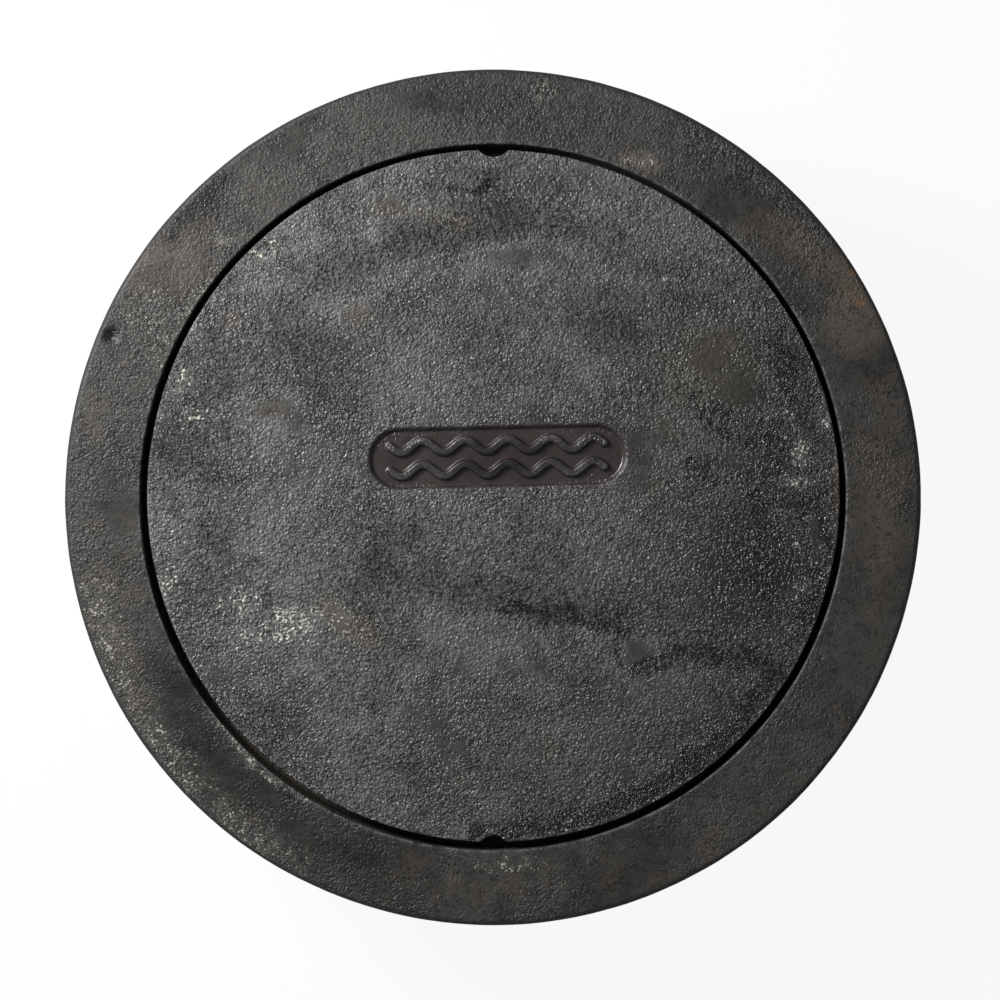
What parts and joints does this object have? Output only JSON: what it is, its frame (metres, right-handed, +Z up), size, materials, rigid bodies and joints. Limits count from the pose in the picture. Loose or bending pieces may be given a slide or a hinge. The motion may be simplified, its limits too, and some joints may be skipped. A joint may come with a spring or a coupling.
{
  "type": "water box",
  "caption": "Round cast-iron water box: a flanged ring frame with a seat and a flush drop-in lid with pick notches and a sunk panel of wave lines.",
  "frame": {"origin": "centre of the spigot's foot, on the plane that the box stands on", "axes": "+Z up through the lid, +Y from the middle of the lid towards the sunk panel, +X along the panel"},
  "size_m": [0.3618, 0.3618, 0.1016],
  "materials": {
    "frame_iron": "sand-cast, worn black coating",
    "lid_iron": "sand-cast, worn black coating"
  },
  "bodies": {
    "root": {"frame": "frame_iron", "lid": "lid_iron"}
  },
  "joints": []
}
